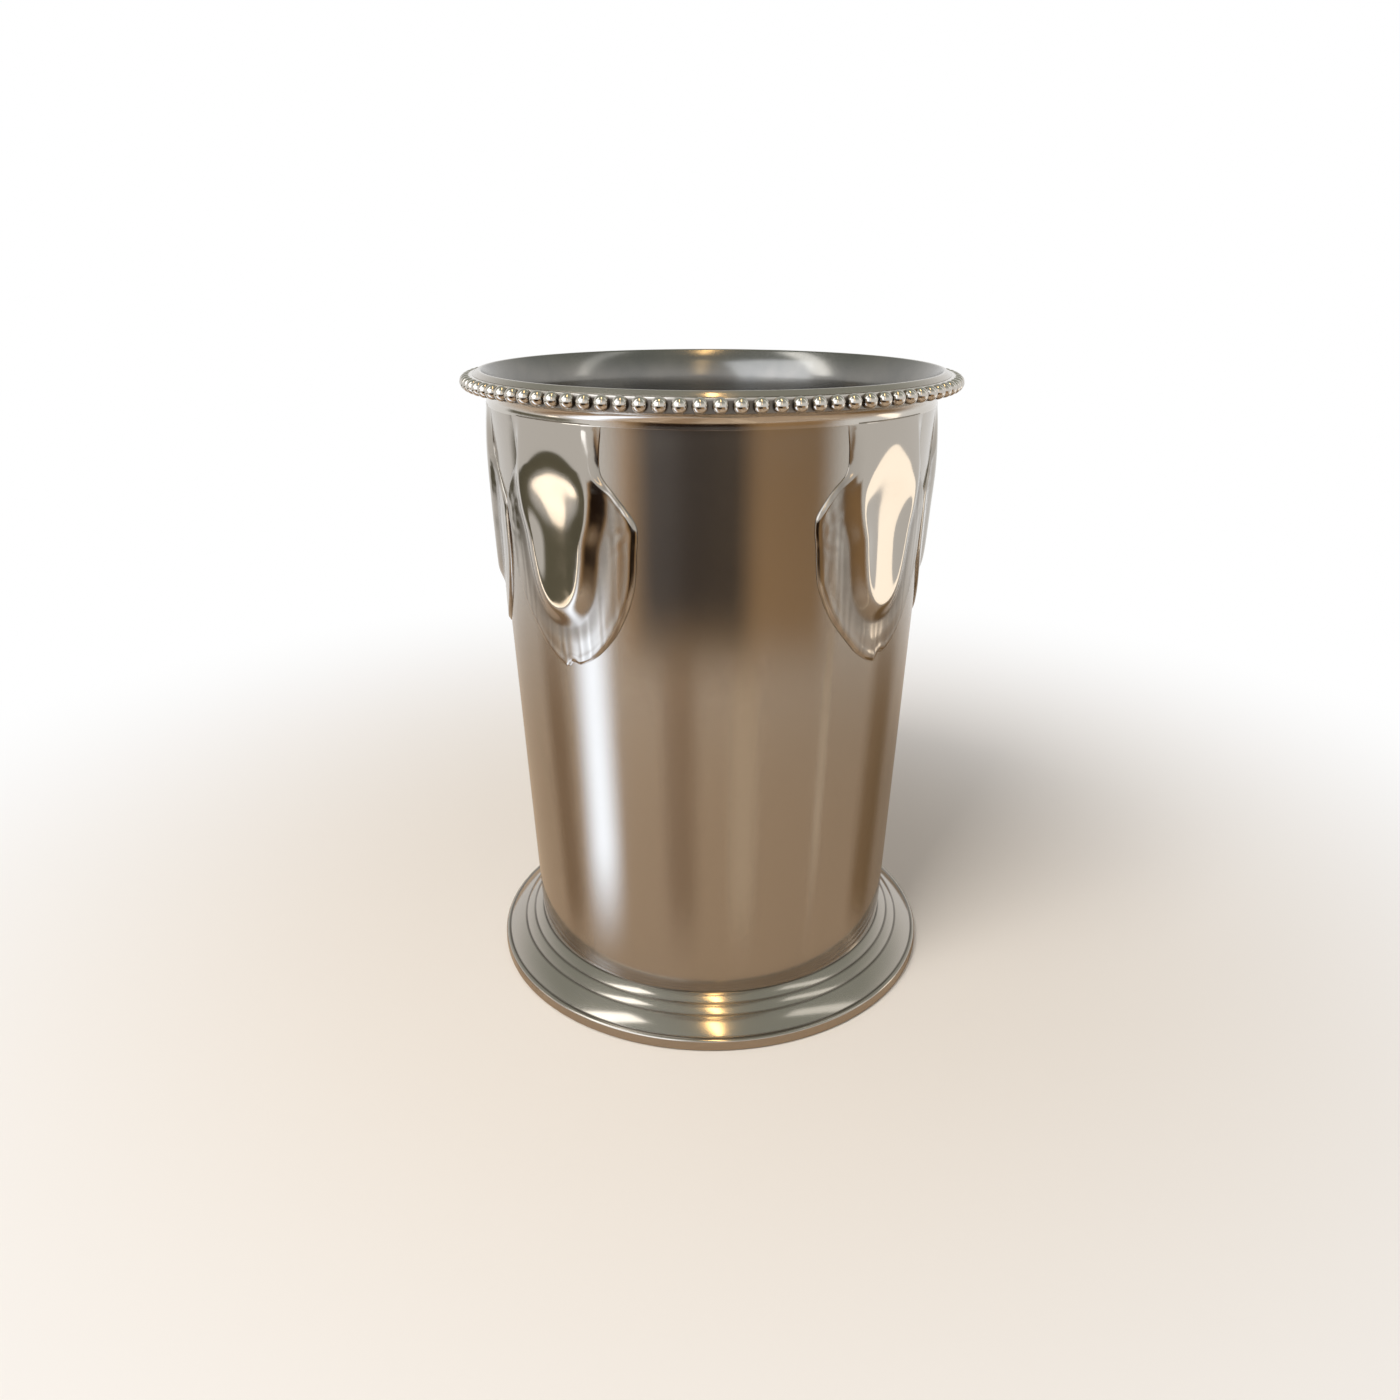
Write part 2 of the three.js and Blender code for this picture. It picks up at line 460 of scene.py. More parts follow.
@dataclass(frozen=True)
class FloorFinish(MatteFinish):
    """Matt pale paper that runs out into the white background.

    Attributes:
        fade_start: Distance from the cup at which the paper starts to fade, in millimetres.
        fade_end: Distance at which it is as white as the background, in millimetres.
    """

    fade_start: float = 50.0
    fade_end: float = 240.0

    def faded(self, tree: bpy.types.NodeTree, sheet: bpy.types.NodeSocket) -> bpy.types.NodeSocket:
        """Fade the paper to white.

        Args:
            tree: The material's node tree.
            sheet: Socket with the paper's shader.

        Returns:
            The socket with the mixed shader.
        """
        white = add_node(tree, "ShaderNodeEmission", {"Color": WHITE, "Strength": 1.0}).outputs["Emission"]
        place = add_node(tree, "ShaderNodeTexCoord").outputs["Object"]
        distance = add_node(tree, "ShaderNodeVectorMath", {0: place}, operation="LENGTH").outputs["Value"]
        far = add_node(tree, "ShaderNodeMapRange", {
            "Value": distance,
            "From Min": self.fade_start * MM,
            "From Max": self.fade_end * MM,
        }, interpolation_type="SMOOTHSTEP").outputs["Result"]
        share = add_node(tree, "ShaderNodeMath", {0: far, 1: seen_ray(tree)}, operation="MULTIPLY")
        mixed = add_node(tree, "ShaderNodeMixShader", {0: share.outputs["Value"], 1: sheet, 2: white})
        return mixed.outputs["Shader"]


@dataclass(frozen=True)
class MatFinish(MatteFinish):
    """Matt felt that thins out towards its edges, so that its mirror image has no hard line."""

    def faded(self, tree: bpy.types.NodeTree, sheet: bpy.types.NodeSocket) -> bpy.types.NodeSocket:
        """Thin the felt out by its cover.

        Args:
            tree: The material's node tree.
            sheet: Socket with the felt's shader.

        Returns:
            The socket with the mixed shader.
        """
        cover = add_node(tree, "ShaderNodeAttribute", attribute_name=COVER).outputs["Fac"]
        bare = add_node(tree, "ShaderNodeBsdfTransparent").outputs["BSDF"]
        return add_node(tree, "ShaderNodeMixShader", {0: cover, 1: bare, 2: sheet}).outputs["Shader"]


def bow(start: Corner, control: Corner, end: Corner, steps: int) -> list[Corner]:
    """Draw a curve that leaves and meets its ends towards a control point.

    Args:
        start: First point.
        control: Point that both ends head for.
        end: Last point.
        steps: Number of stretches.

    Returns:
        The points, both ends among them.
    """
    points = []
    for i in range(steps + 1):
        t = i / steps
        weights = ((1 - t) ** 2, 2 * t * (1 - t), t * t)
        radius = sum(w * p.radius for w, p in zip(weights, (start, control, end)))
        height = sum(w * p.height for w, p in zip(weights, (start, control, end)))
        points.append(Corner(radius, height))
    return points


@dataclass
class TurnedMesh:
    """Turns a half section round the axis.

    Attributes:
        corners: The half section, in order.
        closed: Whether its last corner joins its first, as on a ring.
        steps: Number of stretches round the axis.
        rounding_steps: Number of stretches in each rounded corner.
        longest: Longest stretch of the half section, in millimetres.
    """

    corners: list[Corner]
    closed: bool
    steps: int = 192
    rounding_steps: int = 6
    longest: float = 1.6

    def add_to(self, mesh: BMesh) -> None:
        """Build the turned surface.

        Args:
            mesh: Empty mesh that takes the surface.
        """
        points = [mesh.verts.new((c.radius * MM, 0.0, c.height * MM)) for c in self.corners]
        following = points[1:] + points[:1] if self.closed else points[1:]
        for a, b in zip(points, following):
            mesh.edges.new((a, b))
        for corner, point in zip(self.corners, points):
            if corner.rounding > 0:
                bmesh.ops.bevel(mesh, geom=[point], offset=corner.rounding * MM, affect="VERTICES",
                                offset_type="OFFSET", segments=self.rounding_steps, profile=0.5, material=-1)
        for edge in mesh.edges[:]:
            cuts = int(edge.calc_length() / (self.longest * MM))
            if cuts > 0:
                bmesh.ops.subdivide_edges(mesh, edges=[edge], cuts=cuts)
        bmesh.ops.spin(mesh, geom=mesh.verts[:] + mesh.edges[:], cent=(0, 0, 0), axis=(0, 0, 1),
                       angle=2 * math.pi, steps=self.steps, use_merge=True)
        bmesh.ops.remove_doubles(mesh, verts=mesh.verts[:], dist=SAME_PLACE * MM)
        bmesh.ops.recalc_face_normals(mesh, faces=mesh.faces[:])


def smooth_data(name: str, mesh: BMesh) -> bpy.types.Mesh:
    """Make smooth mesh data of a mesh.

    Args:
        name: Name of the data.
        mesh: The mesh, which is freed.

    Returns:
        The mesh data.
    """
    for face in mesh.faces:
        face.smooth = True
    data = bpy.data.meshes.new(name)
    mesh.to_mesh(data)
    mesh.free()
    return data


def finished_object(name: str, data: bpy.types.Mesh, material: bpy.types.Material) -> bpy.types.Object:
    """Make an object of mesh data and dress it.

    Args:
        name: Name of the piece.
        data: Its mesh data.
        material: Its finish.

    Returns:
        The object, in the scene.
    """
    data.materials.append(material)
    piece = bpy.data.objects.new(name, data)
    bpy.context.scene.collection.objects.link(piece)
    return piece


def stand_for(piece: bpy.types.Object, node: str) -> None:
    """Let a piece ride on the cup and take a node's place.

    Args:
        piece: The finished piece.
        node: The node of the construction that it stands for.
    """
    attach(piece, BODY_NAME)
    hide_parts(node)
    LOG.info("%s stands for %s, with %d faces", piece.name, node, len(piece.data.polygons))


def mark_painted_shade(mesh: BMesh, depth: Callable[[BMVert], float]) -> None:
    """Write how much shade is painted on each point.

    Args:
        mesh: The mesh to mark.
        depth: Function of a vertex that gives 0 on open metal and 1 where the shade is painted fully.
    """
    layer = mesh.verts.layers.float.new(PAINTED_SHADE)
    for vert in mesh.verts:
        vert[layer] = depth(vert)


def radius_of(vert: BMVert) -> float:
    """Return a vertex's distance from the axis, in millimetres."""
    return math.hypot(vert.co.x, vert.co.y) / MM


@dataclass
class CupBody:
    """The spun body: wall, flared lip and floor in one sheet.

    Attributes:
        base_radius: Outside of the wall where it leaves the foot.
        flare_radius: Outside of the wall where the flare starts.
        flare_height: Height at which the flare starts.
        bend_height: Height at which the flare's two directions would meet.
        wall: Thickness of the sheet.
        floor: Thickness of the floor.
        lip_fall: Fall of the lip from its inner to its outer edge.
        lip_rounding: Rounding of the lip's edges.
        floor_corner: Rounding of the inside corner between wall and floor.
        inside_shade: Strength of the shade painted on the inside below the lip, which is also rougher there,
            from 0 to 1.
        inside_shade_start: From the lip down to where that painted shade starts to fade.
        inside_shade_end: From the lip down to where it is gone.
        facing_in: How far out a point faces where the painted shade starts and is full; -1 is straight in.
        finish: How it is polished.
    """

    base_radius: float = 33.3
    flare_radius: float = 39.85
    flare_height: float = 105.3
    bend_height: float = 108.3
    wall: float = 1.2
    floor: float = 1.6
    lip_fall: float = 0.8
    lip_rounding: float = 0.62
    floor_corner: float = 3.5
    inside_shade: float = 0.65
    inside_shade_start: float = 10.0
    inside_shade_end: float = 30.0
    facing_in: tuple[float, float] = (-0.2, -0.6)
    # The inside is painted darker with this finish's cool shade colour, as shade.
    finish: PewterFinish = PewterFinish("polished_spun_pewter", Grain.SPUN, roughness=0.12, haze=0.15,
                                        shade_color="#4F565A", shaded_roughness=0.22)

    def __post_init__(self) -> None:
        """Read the sizes that the construction gives."""
        self.lip_radius, self.underside, self.height = node_span("cup_body")
        self.foot_height = node_span("foot_ring")[2]

    def wall_radius(self, height: float) -> float:
        """Return the outside radius of the straight wall at a height, both in millimetres."""
        share = (height - self.foot_height) / (self.flare_height - self.foot_height)
        return self.base_radius + share * (self.flare_radius - self.base_radius)

    def build(self) -> bpy.types.Object:
        """Turn the body.

        Returns:
            The finished piece.
        """
        floor_top = self.underside + self.floor
        bend = self.wall_radius(self.bend_height)
        flare = self.bend_height - self.flare_height
        lip_peak = self.height + self.lip_rounding / 3  # its rounding takes about as much off again
        section = [
            Corner(0.0, self.underside),
            Corner(self.wall_radius(self.underside), self.underside, self.floor),
            Corner(bend, self.bend_height, flare),
            Corner(self.lip_radius, self.height - self.lip_fall, self.lip_rounding),
            Corner(self.lip_radius - self.wall, lip_peak, self.lip_rounding),
            Corner(bend - self.wall, self.bend_height, flare),
            Corner(self.wall_radius(floor_top) - self.wall, floor_top, self.floor_corner),
            Corner(0.0, floor_top),
        ]
        mesh = bmesh.new()
        TurnedMesh(section, closed=False).add_to(mesh)
        mesh.normal_update()
        mark_painted_shade(mesh, self.inside)
        return finished_object("spun_body", smooth_data("spun_body", mesh), self.finish.make())

    def inside(self, vert: BMVert) -> float:
        """Tell how much shade is painted on a point of the body.

        Args:
            vert: A vertex of the body.

        Returns:
            The shade painted on the inside, falling to 0 over the lip and further down.
        """
        out = Vector((vert.co.x, vert.co.y, 0.0)).normalized()
        faces_in = smooth_step(vert.normal.dot(out), *self.facing_in)
        below_lip = self.height - vert.co.z / MM
        return self.inside_shade * faces_in * smooth_step(below_lip, self.inside_shade_end, self.inside_shade_start)

    def dress(self, piece: bpy.types.Object) -> None:
        """Put the body in its node's place."""
        stand_for(piece, "cup_body")


@dataclass
class BeadedRim:
    """The rim moulding with its row of pearls.

    Attributes:
        body: The body that it is soldered to.
        diameter: Size across the pearls.
        pearl_diameter: Size of a pearl.
        pearl_pitch: Distance between two pearls.
        pearl_drop: From the lip down to the pearls' middle.
        pearl_seat: How far the moulding's face lies behind the pearls' middle.
        tip: Thickness of the moulding where it ends on the wall.
        sink: How far the moulding reaches into the wall, so that no gap shows.
        cove_rounding: Size of the hollow under the pearls.
        pearl_detail: Fineness of a pearl.
        shade_below: How far under the pearls' middle the shade painted behind them starts and is full, in
            pearl radii.
        shade_above: How far over it the painted shade starts and is full, in pearl radii.
        finish: How it is polished.
    """

    body: CupBody
    diameter: float = 88.9
    pearl_diameter: float = 2.5
    pearl_pitch: float = 2.95
    pearl_drop: float = 2.0
    pearl_seat: float = 0.2
    tip: float = 0.14
    sink: float = 0.35
    cove_rounding: float = 2.2
    pearl_detail: int = 3
    shade_below: tuple[float, float] = (1.3, 0.8)
    shade_above: tuple[float, float] = (0.8, 0.5)
    finish: PewterFinish = PewterFinish("polished_cast_rim_pewter", Grain.CAST, metal="#C2BCB3",
                                        roughness=0.14)

    def __post_init__(self) -> None:
        """Work out the pearls' row."""
        self.low = node_span("beaded_rim")[1]
        self.pearl_radius = self.pearl_diameter / 2
        self.row_radius = self.diameter / 2 - self.pearl_radius
        self.row_height = self.body.height - self.pearl_drop
        self.face_radius = self.row_radius - self.pearl_seat
        self.pearl_count = round(2 * math.pi * self.row_radius / self.pearl_pitch)

    def section(self) -> list[Corner]:
        """Draw the moulding's half section.

        Returns:
            Its corners, in order.
        """
        body = self.body
        face_foot = self.row_height - self.pearl_radius
        tip_radius = body.flare_radius + self.tip
        lip_edge = body.height - body.lip_fall
        edge_rounding = self.tip / 2
        bend_radius = body.wall_radius(body.bend_height)
        return [
            Corner(body.flare_radius - self.sink, self.low),
            Corner(tip_radius, self.low, self.tip / 3),
            Corner(tip_radius, face_foot - self.tip, self.cove_rounding),
            Corner(self.face_radius, face_foot, edge_rounding),
            Corner(self.face_radius, lip_edge - edge_rounding, edge_rounding),
            Corner(body.lip_radius - self.sink, lip_edge - edge_rounding / 2),
            Corner(bend_radius - self.sink, body.bend_height - self.sink, self.cove_rounding),
        ]

    def recess(self, vert: BMVert) -> float:
        """Tell how dark a point of the rim is.

        Args:
            vert: A vertex of the rim.

        Returns:
            1 behind the pearls, falling to 0 on their open side and on the ledge over them: shade painted
            behind and between the pearls.
        """
        above = (vert.co.z / MM - self.row_height) / self.pearl_radius
        behind = smooth_step(radius_of(vert), self.row_radius + self.pearl_radius / 2, self.face_radius)
        return behind * smooth_step(-above, *self.shade_below) * smooth_step(above, *self.shade_above)

    def build(self) -> bpy.types.Object:
        """Turn the moulding and set its pearls.

        Returns:
            The finished piece.
        """
        mesh = bmesh.new()
        TurnedMesh(self.section(), closed=True, longest=0.5).add_to(mesh)
        out = Matrix.Translation((0.0, -self.row_radius * MM, self.row_height * MM))
        for i in range(self.pearl_count):
            turn = Matrix.Rotation(2 * math.pi * (i + 0.5) / self.pearl_count, 4, "Z")
            bmesh.ops.create_icosphere(mesh, subdivisions=self.pearl_detail, matrix=turn @ out,
                                       radius=self.pearl_radius * MM)
        # Shade is painted behind and between the pearls.
        mark_painted_shade(mesh, self.recess)
        return finished_object("rim_with_pearls", smooth_data("rim_with_pearls", mesh), self.finish.make())

    def dress(self, piece: bpy.types.Object) -> None:
        """Put the rim in its node's place."""
        stand_for(piece, "beaded_rim")


@dataclass
class FootRing:
    """The stepped foot: an upright band, a broad swelling and two narrow rings.

    Attributes:
        body: The body that it is soldered to.
        band: Height of the upright band.
        step_width: Width of each narrow ring.
        step_rise: Height of each narrow ring.
        swell: How far a ring swells out of its straight slope, where 1 is a quarter round.
        groove: Reach of the shade painted as dark lines in the grooves between the rings.
        groove_core: Share of that reach that takes the painted shade fully.
        edge_rounding: Rounding of the band's edges.
        flat: From the foot's edge in to where its resting face ends.
        sink: How far the ring reaches into the wall, so that no gap shows.
        curve_steps: Number of stretches across each ring.
        finish: How it is polished.
    """

    body: CupBody
    band: float = 2.1
    step_width: float = 1.72
    step_rise: float = 1.06
    swell: float = 0.16
    groove: float = 0.3
    groove_core: float = 0.25
    edge_rounding: float = 0.45
    flat: float = 5.0
    sink: float = 0.2
    curve_steps: int = 12
    finish: PewterFinish = PewterFinish("polished_turned_foot_pewter", Grain.SPUN, haze=0.15)

    def __post_init__(self) -> None:
        """Read the sizes that the construction gives and place the steps."""
        self.edge, self.low, self.high = node_span("foot_ring")
        top = Corner(self.body.wall_radius(self.high), self.high)
        upper = Corner(top.radius + self.step_width, top.height - self.step_rise)
        lower = Corner(upper.radius + self.step_width, upper.height - self.step_rise)
        band_top = Corner(self.edge - self.edge_rounding - self.groove, self.low + self.band)
        self.grooves = (band_top, lower, upper, top)

    def section(self) -> list[Corner]:
        """Draw the foot's half section.

        Returns:
            Its corners, in order.
        """
        inside = self.body.wall_radius(self.low) - self.sink
        rings = [self.grooves[0]]
        for low, high in zip(self.grooves, self.grooves[1:]):
            rings += self.ring(low, high)[1:]
        return [
            Corner(self.edge - self.flat, self.low, self.groove),
            Corner(self.edge, self.low, self.edge_rounding),
            Corner(self.edge, self.low + self.band, self.edge_rounding),
            *rings,
            Corner(self.body.wall_radius(self.high) - self.sink, self.high),
            Corner(inside, self.body.underside),
        ]

    def ring(self, low: Corner, high: Corner) -> list[Corner]:
        """Draw the gentle swelling of one ring.

        Args:
            low: The groove below the ring.
            high: The groove above it.

        Returns:
            Points from one groove to the other.
        """
        reach = (1 + self.swell) / 2
        control = Corner(high.radius + reach * (low.radius - high.radius),
                         low.height + reach * (high.height - low.height))
        return bow(low, control, high, self.curve_steps)

    def recess(self, vert: BMVert) -> float:
        """Tell how dark a point of the foot is.

        Args:
            vert: A vertex of the foot.

        Returns:
            1 at the bottom of a groove, falling to 0 on open metal: shade painted in the grooves.
        """
        radius, height = radius_of(vert), vert.co.z / MM
        nearest = min(math.hypot(radius - c.radius, height - c.height) for c in self.grooves)
        return smooth_step(nearest, self.groove, self.groove * self.groove_core)

    def build(self) -> bpy.types.Object:
        """Turn the foot.

        Returns:
            The finished piece.
        """
        mesh = bmesh.new()
        TurnedMesh(self.section(), closed=True, longest=0.25).add_to(mesh)
        # Shade is painted in the grooves between the rings.
        mark_painted_shade(mesh, self.recess)
        return finished_object("stepped_foot", smooth_data("stepped_foot", mesh), self.finish.make())

    def dress(self, piece: bpy.types.Object) -> None:
        """Put the foot in its node's place."""
        stand_for(piece, "foot_ring")


@dataclass
class OysterShell:
    """A cast shell with a spoon-like dish, a ridge round it and faintly ribbed margins.

    Heights of the relief are above the cup's wall, and all sizes are in millimetres.

    Attributes:
        body: The body whose wall carries the shell.
        outline: Half widths from the neck down to the tip.
        dish: Half widths of the dish by distance below the top; a negative one lies past its end.
        dish_floor: Heights along the middle of the dish, by the same distance.
        first: Azimuth of the shell nearest the front, in degrees.
        step: Azimuth from one shell to the next, in degrees.
        columns: Fineness of the mesh across.
        rows: Fineness of the mesh down.
        row_evenness: Share of the rows' spacing that is even; the rest closes up towards the tip.
        edge_points: Number of points on each side of an edge that distances are measured from.
        smoothing: How far points are drawn to their neighbours at the end, from 0 to 1.
        tuck: How far the neck runs up behind the rim.
        spoon: Radius of the hollow's even curve across its middle.
        even_limit: Most of the hollow's rise that its even curve takes, where 1 is all of it.
        crest: Height of the ridge round the dish.
        crest_softness: Roundness of the ridge's inner side, in square millimetres.
        trough: Height of the furrow outside the ridge.
        trough_reach: From the crest out to the furrow.
        trough_shade: Strength of the shade painted into the furrow, from 0 to 1.
        margin: Height of the margins.
        margin_reach: From the furrow out to the margins.
        bead: Height of the thin raised line along the outline.
        bead_inset: From the outline in to that line.
        bead_width: Half width of that line, as a share of its inset.
        edge: Width over which the shell rolls down to the wall.
        edge_share: Share of its height that it still has at the outline.
        edge_shadow: Strength of the shadow painted as a line along the outline, where the shell meets the
            wall, from 0 to 1.
        edge_shadow_width: Width of that painted shadow line.
        neck_edge: How much wider it rolls down at the top of the neck.
        rib: Height of the ribs on the margins.
        rib_spacing: Distance between two ribs.
        rib_wander: How far a rib strays from its place, as a share of that distance.
        rib_drift: How fast it strays down the shell, as a share of how fast it strays across.
        rib_zone: Where the ribs start and are full, from the dish out, in reaches of the furrow.
        rib_shade: Strength of the shade painted on a rib's flank, from 0 to 1.
        pit: Height of the mottling near the shoulders.
        pit_size: Size of that mottling.
        pit_down: From the top down to the middle of the mottling.
        pit_reach: Height over which the mottling fades.
        pit_zone: Where the mottling starts and is full, as shares of the half width.
        notch: Depth of the notch in the lower edge.
        notch_place: How far to the right of the middle the notch lies.
        notch_width: Half width of the notch.
        notch_zone: From the tip up to where the notch starts and to where it is full.
        neck_height: Height of the neck where it meets the rim.
        neck_reach: Height over which the neck rises to that.
        sink: How far the back lies inside the wall, so that no gap shows.
        finish: How it is polished.
    """

    body: CupBody
    outline: tuple[OutlineRow, ...] = (
        OutlineRow(-1.0, 10.4, 10.0),
        OutlineRow(0.0, 10.2, 9.8),
        OutlineRow(4.2, 9.6, 9.2),
        OutlineRow(7.2, 9.8, 9.3),
        OutlineRow(9.8, 12.2, 11.3),
        OutlineRow(13.4, 14.7, 14.1),
        OutlineRow(15.4, 15.0, 15.0),
        OutlineRow(19.0, 14.6, 14.8),
        OutlineRow(24.4, 14.0, 14.3),
        OutlineRow(27.7, 12.8, 13.4),
        OutlineRow(30.5, 11.3, 12.2),
        OutlineRow(33.3, 9.2, 10.6),
        OutlineRow(35.9, 6.8, 8.4),
        OutlineRow(37.8, 4.9, 6.2),
        OutlineRow(39.5, 2.4, 3.0),
        OutlineRow(40.4, 0.3, 0.5),
    )
    dish: tuple[Knot, ...] = (
        Knot(-6.0, 7.0),
        Knot(0.0, 6.5),
        Knot(5.0, 6.7),
        Knot(10.0, 7.2),
        Knot(14.0, 6.7),
        Knot(18.0, 5.5),
        Knot(22.0, 4.9),
        Knot(26.0, 4.1),
        Knot(28.6, 2.8),
        Knot(30.0, 0.0),
        Knot(33.0, -4.5),
    )
    dish_floor: tuple[Knot, ...] = (
        Knot(-6.0, 1.1),
        Knot(0.0, 1.15),
        Knot(3.0, 1.15),
        Knot(5.5, 0.97),
        Knot(8.3, 0.68),
        Knot(11.0, 0.42),
        Knot(13.4, 0.27),
        Knot(16.0, 0.22),
        Knot(18.5, 0.28),
        Knot(21.0, 0.42),
        Knot(24.0, 0.66),
        Knot(27.0, 0.98),
        Knot(30.0, 1.3),
        Knot(33.0, 1.4),
    )
    first: float = 42.7
    step: float = 45.0
    columns: int = 96
    rows: int = 132
    row_evenness: float = 0.35
    edge_points: int = 4000
    smoothing: float = 0.4
    tuck: float = 0.6
    spoon: float = 50.0
    even_limit: float = 2.0
    crest: float = 1.3
    crest_softness: float = 6.0
    trough: float = 0.38
    trough_reach: float = 3.4
    trough_shade: float = 0.4
    margin: float = 0.45
    margin_reach: float = 3.0
    bead: float = 0.04
    bead_inset: float = 1.0
    bead_width: float = 0.6
    edge: float = 0.6
    edge_share: float = 0.35
    edge_shadow: float = 0.35
    edge_shadow_width: float = 0.3
    neck_edge: float = 3.0
    rib: float = 0.007
    rib_spacing: float = 1.9
    rib_wander: float = 0.7
    rib_drift: float = 0.15
    rib_zone: tuple[float, float] = (0.5, 1.5)
    rib_shade: float = 0.15
    pit: float = 0.06
    pit_size: float = 1.2
    pit_down: float = 14.0
    pit_reach: float = 5.0
    pit_zone: tuple[float, float] = (0.5, 0.75)
    notch: float = 0.8
    notch_place: float = 1.6
    notch_width: float = 0.9
    notch_zone: tuple[float, float] = (7.0, 0.5)
    neck_height: float = 0.3
    neck_reach: float = 13.0
    sink: float = 0.15
    finish: PewterFinish = PewterFinish("polished_cast_shell_pewter", Grain.CAST, roughness=0.08, wave=6.0,
                                        wave_depth=0.004)

    def __post_init__(self) -> None:
        """Read the shell's top from the construction and prepare its curves."""
        self.top = node_span("shell_right")[2]
        self.length = self.outline[-1].down
        shoulder = max(self.outline, key=lambda row: row.right)
        self.turn_radius = self.body.wall_radius(self.top - shoulder.down)
        self.left_curve = [Knot(row.down, row.left) for row in self.outline]
        self.right_curve = [Knot(row.down, row.right) for row in self.outline]
        self.dish_curve = [Knot(knot.place, knot.value * abs(knot.value)) for knot in self.dish]
        self.dish_end = next(knot.place for knot in self.dish if knot.value == 0.0)

    def azimuths(self) -> dict[str, float]:
        """Give each shell its place.

        Returns:
            The shells' azimuths in radians, by node.
        """
        places = {}
        for side in Side:
            for place in Place:
                words = ["shell", side.name.lower(), "" if place is Place.MIDDLE else place.name.lower()]
                name = "_".join(word for word in words if word)
                places[name] = side.value * math.radians(self.first + self.step * place.value)
        return places

    def flat_place(self, across: float, down: float) -> Vector:
        """Move a point up beside the notch in the lower edge.

        Args:
            across: Distance to the right of the middle.
            down: Distance below the top.

        Returns:
            The point on the shell's flattened outline.
        """
        start, full = self.notch_zone
        near_tip = smooth_step(down, self.length - start, self.length - full)
        gap = math.exp(-((across - self.notch_place) / self.notch_width) ** 2)
        return Vector((across, down - self.notch * gap * near_tip, 0.0))

    def half_width(self, across: float, down: float) -> float:
        """Return the half width of the outline on a point's side of the middle."""
        return smooth_curve(self.left_curve if across < 0 else self.right_curve, down)

    def outline_finder(self) -> KDTree:
        """Collect close points of the outline, without the top.

        Returns:
            A tree that finds the nearest of them.
        """
        points = []
        for i in range(self.edge_points + 1):
            down = self.length * i / self.edge_points
            points.append(self.flat_place(-smooth_curve(self.left_curve, down), down))
            points.append(self.flat_place(smooth_curve(self.right_curve, down), down))
        return nearest_finder(points)

    def dish_finder(self) -> KDTree:
        """Collect close points of the dish's edge.

        Returns:
            A tree that finds the nearest of them.
        """
        top = self.dish[0].place
        points = []
        for i in range(self.edge_points + 1):
            share = 1 - (1 - i / self.edge_points) ** 2
            down = top + share * (self.dish_end - top)
            half = math.sqrt(max(smooth_curve(self.dish_curve, down), 0.0))
            points.append(Vector((-half, down, 0.0)))
            points.append(Vector((half, down, 0.0)))
        return nearest_finder(points)

    def softened(self, level: float) -> float:
        """Return a rise from the dish's edge, in square millimetres, with a round start."""
        return math.hypot(level, self.crest_softness) - self.crest_softness

    def hollow(self, across: float, down: float) -> float:
        """Work out the height inside the dish.

        Its middle follows an even curve across, like the bowl of a spoon, and its sides run up to the ridge.

        Args:
            across: Distance to the right of the middle.
            down: Distance below the top.

        Returns:
            The height above the wall.
        """
        rim = smooth_curve(self.dish_curve, down)
        depth = self.crest - smooth_curve(self.dish_floor, down)
        if rim <= 0 or depth <= 0:
            return self.crest
        out = across * across / rim
        bend = 1 / self.spoon + 1 / self.turn_radius
        even = min(bend * self.softened(rim) / (2 * depth), self.even_limit)
        rise = even * out + (1 - even) * out * out
        return self.crest - depth * self.softened(rim * (1 - rise)) / self.softened(rim)

    def margins(self, across: float, down: float, to_dish: float) -> tuple[float, float]:
        """Work out the relief outside the dish: the ridge's far side, the furrow and the ribbed margins.

        Args:
            across: Distance to the right of the middle.
            down: Distance below the top.
            to_dish: Distance from the dish's edge.

        Returns:
            Its height above the wall, and how much shade is painted on it.
        """
        fall = smooth_step(to_dish, 0.0, self.trough_reach)
        rise = smooth_step(to_dish, self.trough_reach, self.trough_reach + self.margin_reach)
        height = self.crest + (self.trough - self.crest) * fall + (self.margin - self.trough) * rise
        start, full = self.rib_zone
        strength = smooth_step(to_dish, start * self.trough_reach, full * self.trough_reach)
        stray = noise.noise(Vector((across, self.rib_drift * down, 0.0)) / self.rib_spacing)
        ribs = math.cos(2 * math.pi * (across / self.rib_spacing + self.rib_wander * stray))
        beside = smooth_step(abs(across / self.half_width(across, down)), *self.pit_zone)
        mottled = math.exp(-((down - self.pit_down) / self.pit_reach) ** 2) * beside
        pits = noise.noise(Vector((across, down, 0.0)) / self.pit_size)
        height += strength * self.rib * ribs + mottled * self.pit * pits
        # The second value is painted shade, in the furrow and on the ribs' flanks.
        return height, self.trough_shade * fall * (1 - rise) + self.rib_shade * strength * (1 - ribs)

